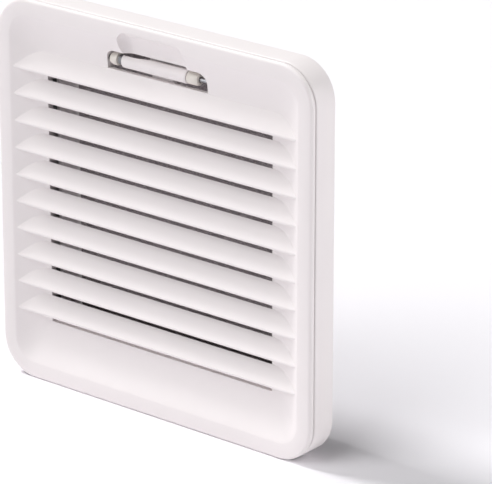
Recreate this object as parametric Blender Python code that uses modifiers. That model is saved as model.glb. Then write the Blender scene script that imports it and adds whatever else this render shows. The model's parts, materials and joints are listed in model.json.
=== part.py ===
"""Cabinet exhaust filter: hinged louvre cover, latch, mounting frame and snap-in clips.

The front rim lies in the plane y = 0 of the empty "front_plane", +X is to the
viewer's right, +Y runs back into the cabinet and +Z is up. Lengths are metres.
"""
import math

import bmesh
import bpy
from mathutils import Matrix, Vector

MM = 0.001

# Driving dimensions of the whole product
SIZE = 150 * MM
HALF = SIZE / 2
CORNER = 15 * MM
DEPTH = 27.0 * MM
GAP = 0.3 * MM
ARC_STEPS = 7

# Front cover: rim, dished surround and louvre blades
SEAM_Y = 2.2 * MM
EDGE_ROUND = 1.9 * MM
RIM = 6.3 * MM
DISH_DEPTH = 4.5 * MM
DISH_END_SIDE = 20.3 * MM
DISH_END_LOW = 24.4 * MM
DISH_END_TOP = 19.6 * MM
OPEN_SIDE = 21.3 * MM
OPEN_LOW = 28.6 * MM
OPEN_TOP = 20.6 * MM
DISH_STEPS = 6
FLOOR_BACK = 6.8 * MM
SKIN = 2.1 * MM
DISH_CORNER = 2.5 * MM
OPEN_CORNER = 1.5 * MM
BLADES = 10
BLADE_PITCH = 10.66 * MM
TOP_LIP_Z = 123.1 * MM
LIP_Y = 0.6 * MM
BLADE_RISE = 6.68 * MM
BLADE_THICK = 1.8 * MM
SKIRT_OUT = 3.1 * MM
SKIRT_IN = 4.7 * MM
SKIRT_BACK = 7.0 * MM
SKIRT_LOW = 18 * MM

# Mounting frame: flange with a side wall, and the housing that fills the cut-out
FRAME_FRONT = 2.6 * MM
FRAME_EDGE = 0.3 * MM
FLANGE_ROUND = 0.5 * MM
REAR_CHAMFER = 0.6 * MM
FLANGE_FRONT = 11.0 * MM
FLANGE_BACK = 13.2 * MM
WALL = 2.5 * MM
HOUSING = 12.8 * MM
HOUSING_WALL = 1.8 * MM
HOUSING_CORNER = 5 * MM
LIP_FRONT = 25.2 * MM
REAR_OPEN_SIDE = 22.4 * MM
REAR_OPEN = 17.4 * MM
REAR_CORNER = 2 * MM
TRAY_OUT = 55.8 * MM
TRAY_WALL = 1.4 * MM
TRAY_FRONT = 11.6 * MM
JOIN = 0.5 * MM

# Hinge along the bottom edge of the cover
HINGE_Y = 5.2 * MM
HINGE_Z = 2.6 * MM
HINGE_X = 46 * MM
PIN_R = 1.0 * MM
LUG_R = 1.9 * MM
LUG_HALF = 3.2 * MM
EAR_THICK = 2.5 * MM
EAR_ROOT = 0.8 * MM
NOTCH_HALF = 65.5 * MM
NOTCH_TOP = 5.2 * MM
NOTCH_BACK = 8.6 * MM
NOTCH_ROOF = 1.8 * MM
NOTCH_WALL_LOW = 2.0 * MM
NOTCH_REAR = 2.6 * MM
NOTCH_SIDE = 2 * MM

# Latch in the top slope of the cover
LATCH_Y = 6.0 * MM
LATCH_Z = 133.9 * MM
BAR_R = 2.65 * MM
BAR_LEFT = -16.6 * MM
BAR_RIGHT = 14.1 * MM
HOLLOW_X = -13 * MM
HOLLOW_R = 45 * MM
HOLLOW_DEEP = 1.1 * MM
HOLLOW_TILT = 24
POCKET_HALF = 23.8 * MM
POCKET_LOW = 130 * MM
POCKET_HIGH = 137.5 * MM
POCKET_ROUND = 3.8 * MM
BOSS_HALF = 27.4 * MM
BOSS_LOW = 128.8 * MM
BOSS_BACK = 9.2 * MM
BOSS_FOOT = 7.9 * MM
BOSS_TOP = 146.6 * MM
SCOOP_R = 8.7 * MM
SCOOP_Y = -3.2 * MM
SCOOP_Z = 138.6 * MM
SCOOP_STRAIGHT = 11.5 * MM
SCOOP_END = 5.5 * MM
BUSH_R = 2.45 * MM
BUSH_NOSE = 2.05 * MM
BUSH_TAPER = 1.4 * MM
RIGHT_BUSH = (14.4 * MM, 19.3 * MM)
LEFT_BUSH = (-22.4 * MM, -18.9 * MM)
LATCH_PIN_R = 0.8 * MM
LATCH_PIN = 50.4 * MM
LATCH_COIL_R = 1.7 * MM
LATCH_WIRE_R = 0.17 * MM
LATCH_COIL = 1.6 * MM
LATCH_LEG = 3.0 * MM
ARM_HALF = 5 * MM
ARM_LOW = 127.3 * MM
ARM_TOP = 128.3 * MM
WEB_FRONT = 7.6 * MM
WEB_BACK = 9.4 * MM
SLOT_FRONT = 6.4 * MM
SLOT_LOW = 128 * MM
HOOK_FRONT = 13.5 * MM
HOOK_BACK = 15.4 * MM
HOOK_TOP = 129.3 * MM
HOOK_ROUND = 0.5 * MM
KEEPER_LOW = 129.7 * MM
KEEPER_HALF = 9 * MM

# Snap-in clips in the side walls of the housing
CLIP_Z = (41 * MM, 109 * MM)
CLIP_HALF = 6.2 * MM
CLIP_X = 60.2 * MM
CLIP_Y = 23.0 * MM
CLIP_PIN_R = 0.9 * MM
KNUCKLE_R = 1.8 * MM
WINDOW_HALF = 6.6 * MM
WINDOW_FRONT = 14.4 * MM
PIN_BOSS = 2.9 * MM
PIN_BLOCK_FRONT = 20.7 * MM
PIN_BLOCK_IN = 2.1 * MM
CLIP_BACK_X = 59.0 * MM
CLIP_FOOT_X = 61.2 * MM
CLIP_FOOT_Y = 15.2 * MM
CLIP_HEEL_X = 61.9 * MM
CLIP_HEEL_Y = 21.6 * MM
CLIP_TIP_X = 64.6 * MM
CLIP_TIP_HIGH = 19.0 * MM
CLIP_TIP_LOW = 18.0 * MM
TEETH = 3
TOOTH_DEEP = 0.9 * MM
TOOTH_PITCH = 1.0 * MM
COIL_HALF = 2.4 * MM
COIL_SLOT_FRONT = 2.1 * MM
CLIP_COIL_R = 1.5 * MM
CLIP_COIL = 3.8 * MM
CLIP_WIRE_R = 0.2 * MM
CLIP_LEG = 5.0 * MM
COIL_TURNS = 4

# Mat, guard grid and seal
MAT_HALF = 53.9 * MM
MAT_LOW = 16 * MM
MAT_HIGH = 134 * MM
MAT_FRONT = 18.6 * MM
MAT_BACK = 22.9 * MM
GRID_LOW = 15.3 * MM
GRID_HALF = 54.1 * MM
GRID_FRONT = 23.2 * MM
GRID_BACK = 24.9 * MM
GRID_COLUMNS = 12
GRID_ROWS = 3
GRID_BAR = 2.2 * MM
GRID_BORDER = 5.2 * MM
SEAL_OUT = 3.6 * MM
SEAL_IN = 10.4 * MM
SEAL_FRONT = 13.5 * MM
SEAL_BACK = 16.5 * MM

PARTS = "exhaust_filter"
CUTTERS = "cutters"


def clear_scene():
    for obj in list(bpy.data.objects):
        bpy.data.objects.remove(obj, do_unlink=True)


def make_collection(name):
    collection = bpy.data.collections.new(name)
    bpy.context.scene.collection.children.link(collection)
    return collection


def make_material(name, color, roughness, metallic=0.0):
    material = bpy.data.materials.new(name)
    material.use_nodes = True
    shader = material.node_tree.nodes["Principled BSDF"]
    shader.inputs["Base Color"].default_value = (*color, 1.0)
    shader.inputs["Roughness"].default_value = roughness
    shader.inputs["Metallic"].default_value = metallic
    material.diffuse_color = (*color, 1.0)
    return material


def finish_mesh(name, bm, material=None):
    """Turn a bmesh into an object: a part if it has a material, else a cutter."""
    bmesh.ops.remove_doubles(bm, verts=bm.verts, dist=0.002 * MM)
    bmesh.ops.recalc_face_normals(bm, faces=bm.faces)
    mesh = bpy.data.meshes.new(name)
    bm.to_mesh(mesh)
    bm.free()
    obj = bpy.data.objects.new(name, mesh)
    obj.parent = bpy.data.objects["front_plane"]
    if material:
        mesh.materials.append(material)
        bpy.data.collections[PARTS].objects.link(obj)
    else:
        bpy.data.collections[CUTTERS].objects.link(obj)
        obj.hide_render = True
        obj.display_type = "WIRE"
    return obj


def rounded_rectangle(half, low, high, radius):
    """Points (x, z) round a rectangle with arcs at its corners."""
    points = []
    centres = ((half - radius, high - radius, 0), (radius - half, high - radius, 90),
               (radius - half, low + radius, 180), (half - radius, low + radius, 270))
    for x, z, start in centres:
        for step in range(ARC_STEPS + 1):
            angle = math.radians(start + 90 * step / ARC_STEPS)
            points.append((x + radius * math.cos(angle), z + radius * math.sin(angle)))
    return points


def square_loop(inset, y, radius):
    """A loop at one inset from the outline. inset is one number or (side, low, top)."""
    side, low, top = inset if isinstance(inset, tuple) else (inset, inset, inset)
    outline = rounded_rectangle(HALF - side, low, SIZE - top, radius)
    return [Vector((x, y, z)) for x, z in outline]


def loft(name, loops, material=None, closed=False):
    """Skin a row of loops. A closed loft joins the last loop to the first."""
    bm = bmesh.new()
    rows = [[bm.verts.new(point) for point in loop] for loop in loops]
    pairs = list(zip(rows, rows[1:]))
    if closed:
        pairs.append((rows[-1], rows[0]))
    for first, second in pairs:
        for i in range(len(first)):
            j = (i + 1) % len(first)
            bm.faces.new((first[i], first[j], second[j], second[i]))
    if not closed:
        bm.faces.new(rows[0])
        bm.faces.new(rows[-1])
    return finish_mesh(name, bm, material)


def prism(name, outline, axis, start, end, material=None):
    """Extrude a flat outline along x, y or z. The outline gives the other two."""
    bm = bmesh.new()
    corners = []
    for u, v in outline:
        point = {"x": (start, u, v), "y": (u, start, v), "z": (u, v, start)}[axis]
        corners.append(bm.verts.new(point))
    face = bm.faces.new(corners)
    moved = bmesh.ops.extrude_face_region(bm, geom=[face])["geom"]
    shift = Vector((0, 0, 0))
    shift["xyz".index(axis)] = end - start
    bmesh.ops.translate(bm, vec=shift, verts=[v for v in moved if isinstance(v, bmesh.types.BMVert)])
    return finish_mesh(name, bm, material)


def box(name, x, y, z, material=None):
    bm = bmesh.new()
    bmesh.ops.create_cube(bm, size=1.0)
    scale = Matrix.Diagonal((x[1] - x[0], y[1] - y[0], z[1] - z[0], 1))
    centre = Vector((sum(x) / 2, sum(y) / 2, sum(z) / 2))
    bmesh.ops.transform(bm, matrix=Matrix.Translation(centre) @ scale, verts=bm.verts)
    return finish_mesh(name, bm, material)


def rod(name, axis, centre, radius, length, material=None, sides=24):
    bm = bmesh.new()
    bmesh.ops.create_cone(bm, cap_ends=True, segments=sides, radius1=radius, radius2=radius,
                          depth=length)
    turn = Matrix.Rotation(math.pi / 2, 4, "Y") if axis == "x" else Matrix.Identity(4)
    bmesh.ops.transform(bm, matrix=Matrix.Translation(centre) @ turn, verts=bm.verts)
    return finish_mesh(name, bm, material)


def combine(obj, tool, operation):
    """Add a Boolean that joins, cuts or trims obj with another object."""
    modifier = obj.modifiers.new(tool.name, "BOOLEAN")
    modifier.operation = operation
    modifier.object = tool
    modifier.solver = "EXACT"


def bevel(obj, width, segments=2, angle=40):
    modifier = obj.modifiers.new("bevel", "BEVEL")
    modifier.width = width
    modifier.segments = segments
    modifier.limit_method = "ANGLE"
    modifier.angle_limit = math.radians(angle)


def set_origin(obj, point):
    """Move an object's origin to a point, such as its joint axis, and leave its mesh."""
    obj.data.transform(Matrix.Translation(-Vector(point)))
    obj.location = point


def arc(centre, radius, start, end, steps):
    """Points round part of a circle, with angles in degrees."""
    points = []
    for step in range(steps + 1):
        angle = math.radians(start + (end - start) * step / steps)
        points.append((centre[0] + radius * math.cos(angle), centre[1] + radius * math.sin(angle)))
    return points


def dish_insets(t):
    """Insets (side, low, top) of the dished surround, from the rim at 0 to its end at 1."""
    ends = (DISH_END_SIDE, DISH_END_LOW, DISH_END_TOP)
    return tuple(RIM + (end - RIM) * t for end in ends)


def dish_loops(shift, steps):
    """The concave dish from rim to floor, moved back by shift."""
    loops = []
    for step in range(steps + 1):
        t = step / steps
        y = shift + DISH_DEPTH * math.sin(t * math.pi / 2)
        loops.append(square_loop(dish_insets(t), y, (CORNER - RIM) * (1 - t) + DISH_CORNER * t))
    return loops


def cover_shell(material):
    """Rim, dished surround and floor as one ring round the louvre opening."""
    opening = (OPEN_SIDE, OPEN_LOW, OPEN_TOP)
    loops = []
    for step in range(5):
        angle = math.radians(90 * step / 4)
        inset = EDGE_ROUND * (1 - math.cos(angle))
        loops.append(square_loop(inset, EDGE_ROUND * (1 - math.sin(angle)), CORNER - inset))
    loops += dish_loops(0, DISH_STEPS)
    loops.append(square_loop(opening, DISH_DEPTH, OPEN_CORNER))
    loops.append(square_loop(opening, FLOOR_BACK, OPEN_CORNER))
    back = dish_loops(SKIN, 4)[1:]
    back[-1] = square_loop(dish_insets(1), FLOOR_BACK, DISH_CORNER)
    loops += reversed(back)
    loops.append(square_loop(RIM, SEAM_Y + 0.2 * MM, CORNER - RIM))
    loops.append(square_loop(SKIRT_IN, SEAM_Y, CORNER - SKIRT_IN))
    loops.append(square_loop(GAP, SEAM_Y, CORNER - GAP))
    return loft("front_cover", loops, material, closed=True)


def blade_outline(lip_z):
    """Section (y, z) of a sloping blade with a rounded lip at its lower front edge."""
    run = DISH_DEPTH - LIP_Y
    length = math.hypot(run, BLADE_RISE)
    along = Vector((run / length, BLADE_RISE / length))
    inward = Vector((along.y, -along.x))
    radius = BLADE_THICK / 2
    nose = Vector((LIP_Y, lip_z)) + inward * radius + along * radius * 0.4
    slope = math.degrees(math.atan2(along.y, along.x))
    points = arc(nose, radius, slope + 90, slope + 270, 6)
    top_front = Vector((DISH_DEPTH, lip_z + BLADE_RISE))
    top_back = top_front + inward * BLADE_THICK
    return points + [tuple(top_back), tuple(top_front)]


def cover_blades():
    """All louvre blades, trimmed so that their ends stop inside the dished surround."""
    bm = bmesh.new()
    for index in range(BLADES):
        outline = blade_outline(TOP_LIP_Z - index * BLADE_PITCH)
        face = bm.faces.new([bm.verts.new((-HALF, y, z)) for y, z in outline])
        moved = bmesh.ops.extrude_face_region(bm, geom=[face])["geom"]
        verts = [v for v in moved if isinstance(v, bmesh.types.BMVert)]
        bmesh.ops.translate(bm, vec=(SIZE, 0, 0), verts=verts)
    blades = finish_mesh("blade_bars", bm)
    overlap = 0.4 * MM
    inset = (OPEN_SIDE - overlap, OPEN_LOW - overlap, OPEN_TOP - overlap)
    half_skin = SKIN / 2
    loops = [square_loop(dish_insets(0), -2 * MM, CORNER - RIM)]
    loops += dish_loops(half_skin, DISH_STEPS)
    loops.append(square_loop(inset, DISH_DEPTH + half_skin + 0.1 * MM, OPEN_CORNER))
    loops.append(square_loop(inset, FLOOR_BACK + 3 * MM, OPEN_CORNER))
    combine(blades, loft("blade_limit", loops), "INTERSECT")
    return blades


def cover_skirt():
    """Wall behind the cover that seats inside the frame on three sides."""
    corners = ((SKIRT_OUT, SEAM_Y - 0.5 * MM), (SKIRT_OUT, SKIRT_BACK),
               (SKIRT_IN, SKIRT_BACK), (SKIRT_IN, SEAM_Y - 0.5 * MM))
    loops = [square_loop(inset, y, CORNER - inset) for inset, y in corners]
    skirt = loft("skirt", loops, closed=True)
    low = box("skirt_end", (-HALF, HALF), (0, 2 * SKIRT_BACK), (-1 * MM, SKIRT_LOW))
    combine(skirt, low, "DIFFERENCE")
    return skirt


def hinge_lug(side):
    """Lug on the back of the cover round the hinge pin."""
    centre = (HINGE_Y, HINGE_Z)
    outline = [(SEAM_Y - 0.6 * MM, HINGE_Z + LUG_R), (SEAM_Y - 0.6 * MM, HINGE_Z - LUG_R)]
    outline += arc(centre, LUG_R, -90, 90, 8)
    middle = side * HINGE_X
    return prism(f"lug_{side}", outline, "x", middle - LUG_HALF, middle + LUG_HALF)


def pocket_cutter():
    """Window with round upper corners that the latch bar sits in."""
    rise = POCKET_HIGH - POCKET_ROUND
    outline = [(-POCKET_HALF, POCKET_LOW), (POCKET_HALF, POCKET_LOW)]
    outline += arc((POCKET_HALF - POCKET_ROUND, rise), POCKET_ROUND, 0, 90, 6)
    outline += arc((POCKET_ROUND - POCKET_HALF, rise), POCKET_ROUND, 90, 180, 6)
    return prism("latch_pocket", outline, "y", -2 * MM, BOSS_BACK + 2 * MM)


def latch_boss():
    """Block behind the top slope that the scoop, pocket and latch bores are cut into."""
    outline = []
    for step in range(DISH_STEPS + 1):
        t = step / DISH_STEPS
        y = DISH_DEPTH * math.sin(t * math.pi / 2) + SKIN / 2
        outline.append((y, SIZE - dish_insets(t)[2]))
    outline += [(outline[-1][0], BOSS_LOW), (BOSS_FOOT, BOSS_LOW), (BOSS_FOOT, POCKET_LOW + 0.2 * MM),
                (BOSS_BACK, POCKET_LOW + 1.5 * MM), (BOSS_BACK, BOSS_TOP), (outline[0][0], BOSS_TOP)]
    return prism("latch_boss", outline, "x", -BOSS_HALF, BOSS_HALF)


def scoop_cutter():
    """Rounded finger scoop above the latch: a lying capsule with flattened ends."""
    bm = bmesh.new()
    bmesh.ops.create_uvsphere(bm, u_segments=20, v_segments=20, radius=SCOOP_R)
    turn = Matrix.Rotation(math.pi / 2, 4, "Y")
    bmesh.ops.transform(bm, matrix=turn, verts=bm.verts)
    for vert in bm.verts:
        side = 0 if abs(vert.co.x) < 0.01 * MM else math.copysign(1, vert.co.x)
        vert.co.x = vert.co.x * SCOOP_END / SCOOP_R + side * SCOOP_STRAIGHT
    bmesh.ops.translate(bm, vec=(0, SCOOP_Y, SCOOP_Z), verts=bm.verts)
    return finish_mesh("scoop", bm)


def make_cover(plastic):
    cover = cover_shell(plastic)
    combine(cover, cover_blades(), "UNION")
    combine(cover, cover_skirt(), "UNION")
    combine(cover, latch_boss(), "UNION")
    for side in (-1, 1):
        combine(cover, hinge_lug(side), "UNION")
    combine(cover, scoop_cutter(), "DIFFERENCE")
    combine(cover, pocket_cutter(), "DIFFERENCE")
    arm_slot = box("arm_slot", (-POCKET_HALF, POCKET_HALF), (SLOT_FRONT, BOSS_BACK + 2 * MM),
                   (SLOT_LOW, POCKET_LOW + 0.5 * MM))
    combine(cover, arm_slot, "DIFFERENCE")
    latch_bore = rod("latch_bore", "x", (0, LATCH_Y, LATCH_Z), LATCH_PIN_R + GAP, LATCH_PIN + 2 * GAP)
    combine(cover, latch_bore, "DIFFERENCE")
    hinge_bore = rod("hinge_bore", "x", (0, HINGE_Y, HINGE_Z), PIN_R + GAP, SIZE)
    combine(cover, hinge_bore, "DIFFERENCE")
    set_origin(cover, (0, HINGE_Y, HINGE_Z))


def latch_bar(plastic):
    """Round press bar with a shallow hollow for the fingertip in its top left."""
    centre = ((BAR_LEFT + BAR_RIGHT) / 2, LATCH_Y, LATCH_Z)
    bar = rod("latch_lever", "x", centre, BAR_R, BAR_RIGHT - BAR_LEFT, plastic, sides=32)
    bevel(bar, 0.5 * MM)
    tilt = Matrix.Rotation(-math.radians(HOLLOW_TILT), 4, "X")
    hollow = bmesh.new()
    bmesh.ops.create_cone(hollow, cap_ends=True, segments=96, radius1=HOLLOW_R, radius2=HOLLOW_R,
                          depth=4 * BAR_R)
    across = Matrix.Rotation(math.pi / 2, 4, "X")
    lift = Matrix.Translation((HOLLOW_X, 0, HOLLOW_R + BAR_R - HOLLOW_DEEP))
    place = Matrix.Translation((0, LATCH_Y, LATCH_Z))
    bmesh.ops.transform(hollow, matrix=place @ tilt @ lift @ across, verts=hollow.verts)
    combine(bar, finish_mesh("finger_hollow", hollow), "DIFFERENCE")
    return bar


def make_bush(label, span, plastic):
    """Bearing bush between the bar and a pocket wall, with its outer end tapered."""
    inner, outer = sorted(span, key=abs)
    side = math.copysign(1, outer)
    neck = outer - side * BUSH_TAPER
    profile = [(inner, BUSH_R), (neck, BUSH_R), (outer, BUSH_NOSE)]
    bm = bmesh.new()
    rings = []
    for x, radius in profile:
        ring = arc((LATCH_Y, LATCH_Z), radius, 0, 345, 23)
        rings.append([bm.verts.new((x, y, z)) for y, z in ring])
    for first, second in zip(rings, rings[1:]):
        for i in range(len(first)):
            j = (i + 1) % len(first)
            bm.faces.new((first[i], first[j], second[j], second[i]))
    bm.faces.new(rings[0])
    bm.faces.new(rings[-1])
    bush = finish_mesh(f"latch_bush_{label}", bm, plastic)
    bore = rod(f"bush_bore_{label}", "x", (0, LATCH_Y, LATCH_Z), LATCH_PIN_R + GAP, SIZE)
    combine(bush, bore, "DIFFERENCE")


def make_latch(plastic, steel, bush_plastic):
    """Latch bar with its hook arm, and the pin, bushes and spring it turns on."""
    axis = (0, LATCH_Y, LATCH_Z)
    bar = latch_bar(plastic)
    outline = [(WEB_FRONT, ARM_LOW), (HOOK_BACK - HOOK_ROUND, ARM_LOW),
               (HOOK_BACK, ARM_LOW + HOOK_ROUND), (HOOK_BACK, ARM_TOP + HOOK_ROUND),
               (HOOK_FRONT + HOOK_ROUND, HOOK_TOP), (HOOK_FRONT, HOOK_TOP),
               (HOOK_FRONT, ARM_TOP), (WEB_BACK, ARM_TOP), (WEB_BACK, LATCH_Z - HOOK_ROUND),
               (LATCH_Y + LATCH_PIN_R + 2 * GAP, LATCH_Z), (WEB_FRONT, LATCH_Z - HOOK_ROUND)]
    combine(bar, prism("hook_arm", outline, "x", -ARM_HALF, ARM_HALF), "UNION")
    combine(bar, rod("bar_bore", "x", axis, LATCH_PIN_R + GAP, SIZE), "DIFFERENCE")
    set_origin(bar, axis)
    pin = rod("latch_pin", "x", axis, LATCH_PIN_R, LATCH_PIN, steel)
    set_origin(pin, axis)
    make_bush("left", LEFT_BUSH, bush_plastic)
    make_bush("right", RIGHT_BUSH, bush_plastic)
    centre = Vector(((BAR_LEFT + LEFT_BUSH[1]) / 2, LATCH_Y, LATCH_Z))
    coil(name="latch_spring", centre=centre, axis="x", radius=LATCH_COIL_R, wire=LATCH_WIRE_R,
         length=LATCH_COIL, leg=LATCH_LEG, material=steel, start=90, side=1)


def coil(name, centre, axis, radius, wire, length, leg, material, start, side):
    """Torsion spring: a helix about x or z with a straight leg at one end."""
    per_turn = 10
    points = []
    count = COIL_TURNS * per_turn
    for step in range(count + 1):
        angle = math.radians(start) + side * 2 * math.pi * step / per_turn
        along = length * (step / count - 0.5)
        u, v = radius * math.cos(angle), radius * math.sin(angle)
        points.append(Vector((along, u, v)) if axis == "x" else Vector((u, v, along)))
    tangent = (points[-1] - points[-2]).normalized()
    points.append(points[-1] + tangent * leg)
    curve = bpy.data.curves.new(name, "CURVE")
    curve.dimensions = "3D"
    curve.bevel_depth = wire
    curve.bevel_resolution = 2
    curve.use_fill_caps = True
    curve.materials.append(material)
    spline = curve.splines.new("POLY")
    spline.points.add(len(points) - 1)
    for slot, point in zip(spline.points, points):
        slot.co = (*point, 1)
    obj = bpy.data.objects.new(name, curve)
    obj.parent = bpy.data.objects["front_plane"]
    obj.location = centre
    bpy.data.collections[PARTS].objects.link(obj)


def make_hinge_pins(steel):
    for side, label in ((-1, "left"), (1, "right")):
        centre = (side * HINGE_X, HINGE_Y, HINGE_Z)
        length = 2 * (LUG_HALF + GAP + EAR_THICK)
        pin = rod(f"hinge_pin_{label}", "x", centre, PIN_R, length, steel)
        set_origin(pin, centre)


def frame_body(material):
    """Side wall, flange, housing and rear lip as one ring."""
    edge = FRAME_EDGE
    inner = HOUSING + HOUSING_WALL
    rear = (REAR_OPEN_SIDE, REAR_OPEN, REAR_OPEN)
    inner_corner = HOUSING_CORNER - HOUSING_WALL
    loops = [square_loop(edge, FRAME_FRONT, CORNER - edge), square_loop(0, FRAME_FRONT + edge, CORNER),
             square_loop(0, FLANGE_BACK - FLANGE_ROUND, CORNER)]
    for degrees in (30, 60, 90):
        angle = math.radians(degrees)
        inset = FLANGE_ROUND * (1 - math.cos(angle))
        y = FLANGE_BACK - FLANGE_ROUND * (1 - math.sin(angle))
        loops.append(square_loop(inset, y, CORNER - inset))
    loops.append(square_loop(HOUSING, FLANGE_BACK, HOUSING_CORNER))
    loops.append(square_loop(HOUSING, DEPTH - 2 * REAR_CHAMFER, HOUSING_CORNER))
    loops.append(square_loop(HOUSING + REAR_CHAMFER, DEPTH, HOUSING_CORNER - REAR_CHAMFER))
    loops.append(square_loop(rear, DEPTH, REAR_CORNER))
    loops.append(square_loop(rear, LIP_FRONT, REAR_CORNER))
    loops.append(square_loop(inner, LIP_FRONT, inner_corner))
    loops.append(square_loop(inner, FLANGE_FRONT, inner_corner))
    loops.append(square_loop(WALL, FLANGE_FRONT, CORNER - WALL))
    loops.append(square_loop(WALL, FRAME_FRONT + edge, CORNER - WALL))
    loops.append(square_loop(WALL - edge, FRAME_FRONT, CORNER - WALL + edge))
    return loft("mounting_frame", loops, material, closed=True)


def add_hinge_notch(frame):
    """Recess under the cover's lower edge, its closing wall, and the ears for the pins."""
    reach = NOTCH_HALF + NOTCH_SIDE
    wall = box("notch_wall", (-reach, reach), (FRAME_FRONT + 1.2 * MM, NOTCH_BACK + NOTCH_REAR),
               (NOTCH_WALL_LOW, NOTCH_TOP + NOTCH_ROOF))
    combine(frame, wall, "UNION")
    notch = box("notch", (-NOTCH_HALF, NOTCH_HALF), (-1 * MM, NOTCH_BACK), (-1 * MM, NOTCH_TOP))
    combine(frame, notch, "DIFFERENCE")
    centre = (HINGE_Y, HINGE_Z)
    root = NOTCH_TOP + EAR_ROOT
    outline = [(HINGE_Y - LUG_R, root)] + arc(centre, LUG_R, 180, 360, 8) + [(HINGE_Y + LUG_R, root)]
    for side in (-1, 1):
        for place in (-1, 1):
            inner = side * HINGE_X + place * (LUG_HALF + GAP)
            outer = inner + place * EAR_THICK
            ear = prism(f"ear_{side}_{place}", outline, "x", min(inner, outer), max(inner, outer))
            combine(frame, ear, "UNION")
    bore = rod("ear_bore", "x", (0, HINGE_Y, HINGE_Z), PIN_R + GAP, 2 * NOTCH_HALF - 1 * MM)
    combine(frame, bore, "DIFFERENCE")


def add_tray_walls(frame):
    """Inner side walls that keep the mat clear of the clips."""
    for side in (-1, 1):
        x = sorted((side * TRAY_OUT, side * (TRAY_OUT - TRAY_WALL)))
        low = HOUSING + HOUSING_WALL - JOIN
        wall = box(f"tray_wall_{side}", x, (TRAY_FRONT, LIP_FRONT + JOIN), (low, SIZE - low))
        combine(frame, wall, "UNION")


def add_clip_windows(frame):
    """Openings in the housing's side walls, with a block each side for the clip's pin."""
    for side in (-1, 1):
        for z in CLIP_Z:
            tag = f"{side}_{round(z / MM)}"
            x = sorted((side * (CLIP_X - PIN_BLOCK_IN), side * (HALF - HOUSING - 0.2 * MM)))
            for place in (-1, 1):
                near = z + place * (WINDOW_HALF - JOIN)
                far = z + place * (WINDOW_HALF + PIN_BOSS)
                block = box(f"pin_block_{tag}_{place}", x,
                            (PIN_BLOCK_FRONT, LIP_FRONT + JOIN), sorted((near, far)))
                combine(frame, block, "UNION")
            window = sorted((side * (TRAY_OUT + 0.05 * MM), side * (HALF - HOUSING + 2 * MM)))
            hole = box(f"window_{tag}", window, (WINDOW_FRONT, LIP_FRONT),
                       (z - WINDOW_HALF, z + WINDOW_HALF))
            combine(frame, hole, "DIFFERENCE")
            bore = rod(f"clip_bore_{tag}", "z", (side * CLIP_X, CLIP_Y, z), CLIP_PIN_R + GAP,
                       2 * (WINDOW_HALF + PIN_BOSS - 0.6 * MM))
            combine(frame, bore, "DIFFERENCE")


def make_frame(plastic):
    frame = frame_body(plastic)
    add_hinge_notch(frame)
    add_tray_walls(frame)
    add_clip_windows(frame)
    keeper = box("keeper", (-KEEPER_HALF, KEEPER_HALF), (FLANGE_FRONT, FLANGE_BACK),
                 (KEEPER_LOW, SIZE - HOUSING - JOIN))
    combine(frame, keeper, "UNION")


def clip_outline(side):
    """Section (x, y) of a snap-in clip: pivot knuckle, ramp and three ratchet teeth."""
    points = arc((CLIP_X, CLIP_Y), KNUCKLE_R, 180, 0, 8)
    points += [(CLIP_HEEL_X, CLIP_HEEL_Y), (CLIP_TIP_X, CLIP_TIP_HIGH), (CLIP_TIP_X, CLIP_TIP_LOW)]
    x, y = CLIP_TIP_X, CLIP_TIP_LOW
    for _ in range(TEETH):
        x -= TOOTH_DEEP
        points.append((x, y))
        y -= TOOTH_PITCH
        points.append((x, y))
    points += [(CLIP_FOOT_X, CLIP_FOOT_Y), (CLIP_BACK_X, CLIP_FOOT_Y), (CLIP_BACK_X, CLIP_HEEL_Y)]
    return [(side * x, y) for x, y in points]


def make_clips(plastic, steel):
    """Four clips on pins, each pressed outward by a torsion spring in its knuckle."""
    for side, label in ((-1, "left"), (1, "right")):
        for z, level in zip(CLIP_Z, ("lower", "upper")):
            tag = f"{label}_{level}"
            axis = (side * CLIP_X, CLIP_Y, z)
            clip = prism(f"clip_{tag}", clip_outline(side), "z", z - CLIP_HALF, z + CLIP_HALF,
                         plastic)
            gap = sorted((side * (CLIP_X - 4 * MM), side * (CLIP_X + 4 * MM)))
            slot = box(f"coil_slot_{tag}", gap, (CLIP_Y - COIL_SLOT_FRONT, CLIP_Y + 4 * MM),
                       (z - COIL_HALF - GAP, z + COIL_HALF + GAP))
            combine(clip, slot, "DIFFERENCE")
            bore = rod(f"knuckle_bore_{tag}", "z", axis, CLIP_PIN_R + GAP, 20 * MM)
            combine(clip, bore, "DIFFERENCE")
            set_origin(clip, axis)
            length = 2 * (WINDOW_HALF + PIN_BOSS - 0.9 * MM)
            pin = rod(f"clip_pin_{tag}", "z", axis, CLIP_PIN_R, length, steel, sides=16)
            set_origin(pin, axis)
            start = 180 if side > 0 else 0
            coil(name=f"clip_spring_{tag}", centre=Vector(axis), axis="z", radius=CLIP_COIL_R,
                 wire=CLIP_WIRE_R, length=CLIP_COIL, leg=CLIP_LEG, material=steel, start=start,
                 side=side)


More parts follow.
